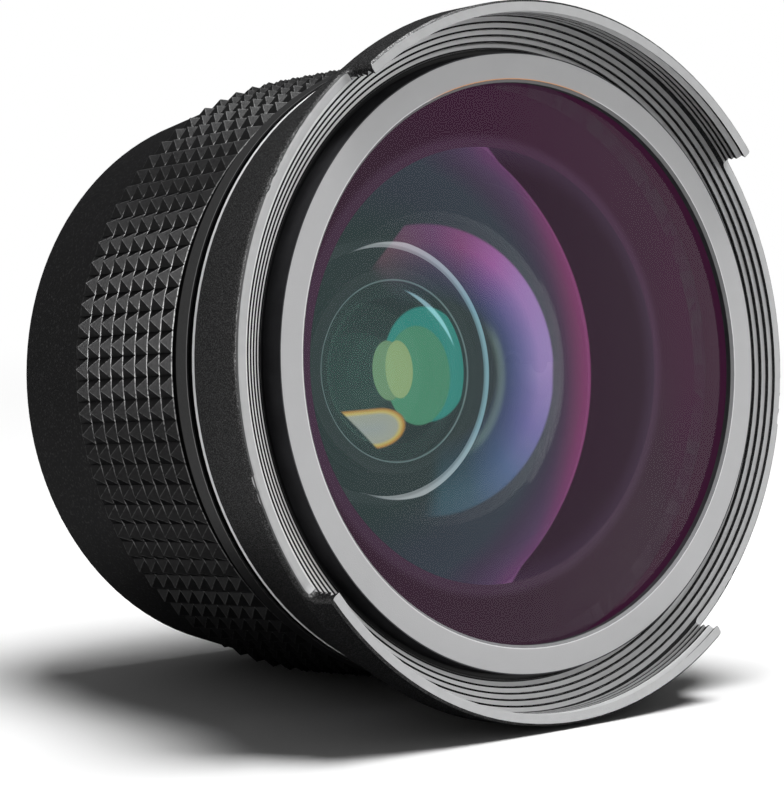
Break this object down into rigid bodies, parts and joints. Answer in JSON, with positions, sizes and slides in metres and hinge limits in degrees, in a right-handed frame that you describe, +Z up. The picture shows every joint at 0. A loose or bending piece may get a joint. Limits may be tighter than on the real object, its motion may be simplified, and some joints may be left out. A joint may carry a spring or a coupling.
{
  "type": "wide-angle conversion lens",
  "caption": "Screw-on wide-angle conversion lens with a petal hood, a pyramid-knurled grip and a rear macro section that unscrews.",
  "frame": {"origin": "on the table, under the middle of the lens as it lies on its side", "axes": "+Z up from the table; the front glass looks along -Y and 6.25 degrees up, because the lens leans back on the hood's band and the grip; +X is to the right when looking at the front glass along +Y"},
  "size_m": [0.0778, 0.0664, 0.0779],
  "materials": {
    "hood": "fine-grained satin black anodising; stepped mouth and rim bright grey",
    "name_ring": "matt grey, bare of lettering",
    "front_lens": "coated",
    "front_lens_gasket": "matt",
    "light_baffle": "matt black",
    "grip_barrel": "satin black anodising",
    "lens_cell": "matt black",
    "cell_lock_ring": "satin, bare metal",
    "second_lens": "coated",
    "second_lens_ring": "satin black with a bright inner bevel",
    "doublet_front": "coated",
    "doublet_back": "coated",
    "doublet_ring": "satin black",
    "macro_barrel": "satin black anodising",
    "lens_spacer": "matt black",
    "rear_cover_ring": "satin black"
  },
  "bodies": {
    "wide_angle_unit": {"hood": "hood", "name_ring": "name_ring", "front_lens": "front_lens", "front_lens_gasket": "front_lens_gasket", "light_baffle": "light_baffle", "grip_barrel": "grip_barrel"},
    "macro_glass": {"second_lens": "second_lens", "doublet_front": "doublet_front", "doublet_back": "doublet_back"},
    "macro_section": {"macro_barrel": "macro_barrel", "lens_cell": "lens_cell", "cell_lock_ring": "cell_lock_ring", "second_lens_ring": "second_lens_ring", "lens_spacer": "lens_spacer", "doublet_ring": "doublet_ring", "rear_cover_ring": "rear_cover_ring"}
  },
  "joints": [
    {"name": "macro_advance", "type": "slide", "parent": "wide_angle_unit", "child": "macro_glass", "axis": [0, 0.9941, -0.1088], "range_m": [0, 0.003]},
    {"name": "macro_unscrew", "type": "hinge", "parent": "macro_glass", "child": "macro_section", "pos_m": [0, 0.0122, 0.03474], "axis": [0, 0.9941, -0.1088], "range_deg": [0, 1440]}
  ],
  "couplings": [
    {"joint": "macro_advance", "follows": "macro_unscrew", "m_per_rad": 0.00011937}
  ]
}
